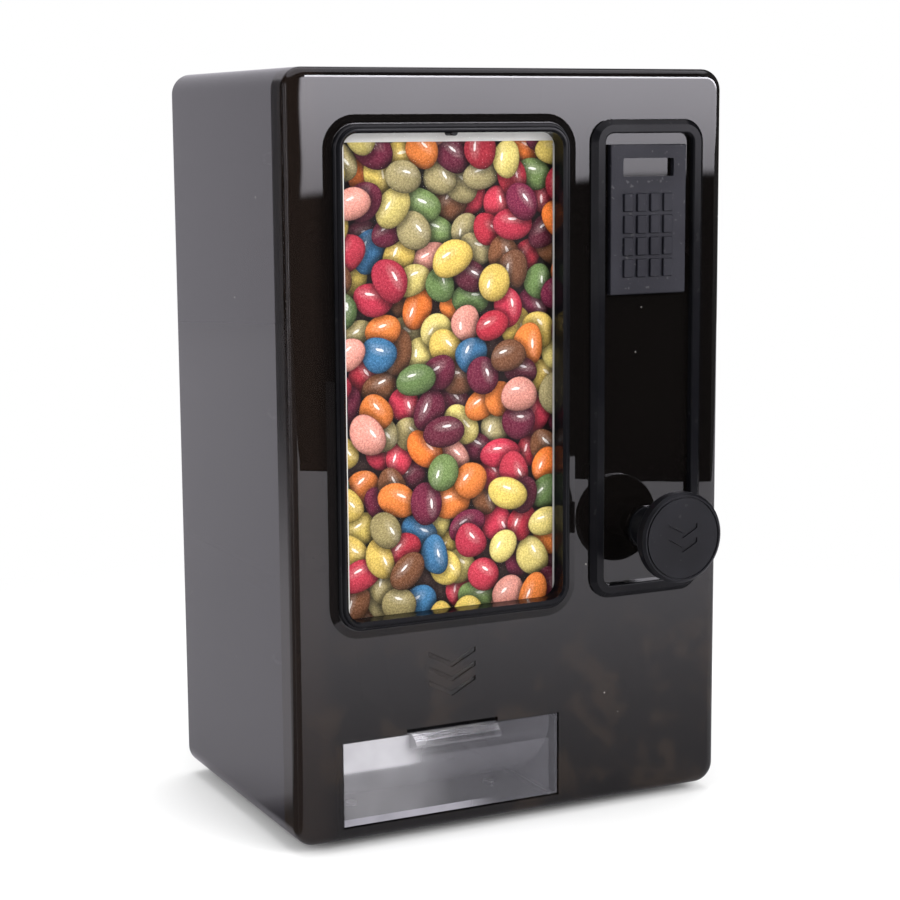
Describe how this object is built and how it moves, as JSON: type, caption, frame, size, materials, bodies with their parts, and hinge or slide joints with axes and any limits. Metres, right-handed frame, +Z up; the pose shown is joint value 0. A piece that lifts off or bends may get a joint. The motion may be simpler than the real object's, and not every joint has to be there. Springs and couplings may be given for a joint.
{
  "type": "candy dispenser",
  "caption": "Table-top sweet dispenser shaped like a small vending machine, with a framed card window, a pull knob, a filling lid and a clear drawer.",
  "frame": {"origin": "on the floor under the middle of the whole object, the knob counted in", "axes": "+X to the right seen from the front, +Y to the back, +Z up"},
  "size_m": [0.1584, 0.129, 0.25],
  "materials": {
    "smoke_casing": "polished smoke-grey plastic, slightly see-through",
    "smoke_cover": "polished dark smoke plastic, slightly see-through",
    "black_frame": "satin black moulded plastic",
    "clear_pane": "clear polished plastic sheet",
    "printed_card": "coated card with a colour print",
    "dark_inner": "dark moulded plastic",
    "milky_inner": "natural white moulded plastic",
    "keypad_plastic": "fine-grained dark grey plastic",
    "knob_plastic": "satin black plastic",
    "steel": "zinc-plated steel",
    "spring_steel": "bright spring steel",
    "rubber_feet": "black rubber",
    "clear_drawer": "clear polished plastic"
  },
  "bodies": {
    "case": {"rear_casing": "smoke_casing", "front_cover": "smoke_cover", "window_bezel": "black_frame", "window_pane": "clear_pane", "picture_card": "printed_card", "card_backing": "dark_inner", "card_backing_screws": "steel", "control_bezel": "black_frame", "bezel_retainers": "steel", "keypad_plate": "keypad_plastic", "keypad_retainers": "steel", "knob_bushing": "black_frame", "bushing_nut": "steel", "hopper": "milky_inner", "hopper_screws": "steel", "slide_guide": "dark_inner", "guide_screws": "steel", "delivery_chute": "milky_inner", "chute_screws": "steel", "drawer_bay": "dark_inner", "bay_screws": "steel", "feet": "rubber_feet", "case_screws": "steel", "lid_hinge_pin": "steel", "return_spring": "spring_steel"},
    "lid": {"refill_lid": "smoke_casing"},
    "knob": {"pull_knob": "knob_plastic", "pull_rod": "milky_inner", "spring_washer": "steel", "rod_clip": "spring_steel", "dispensing_slide": "milky_inner", "slide_pin": "steel"},
    "drawer": {"drawer": "clear_drawer"}
  },
  "joints": [
    {"name": "knob_pull", "type": "slide", "parent": "case", "child": "knob", "axis": [0, -1, 0], "range_m": [0, 0.026], "stiffness_N_per_m": 250, "springref_m": -0.008, "deforming": ["return_spring"]},
    {"name": "drawer_slide", "type": "slide", "parent": "case", "child": "drawer", "axis": [0, -1, 0], "range_m": [0, 0.045]},
    {"name": "lid_hinge", "type": "hinge", "parent": "case", "child": "lid", "pos_m": [-0.0228, 0.04855, 0.248], "axis": [-1, 0, 0], "range_deg": [0, 95]}
  ]
}
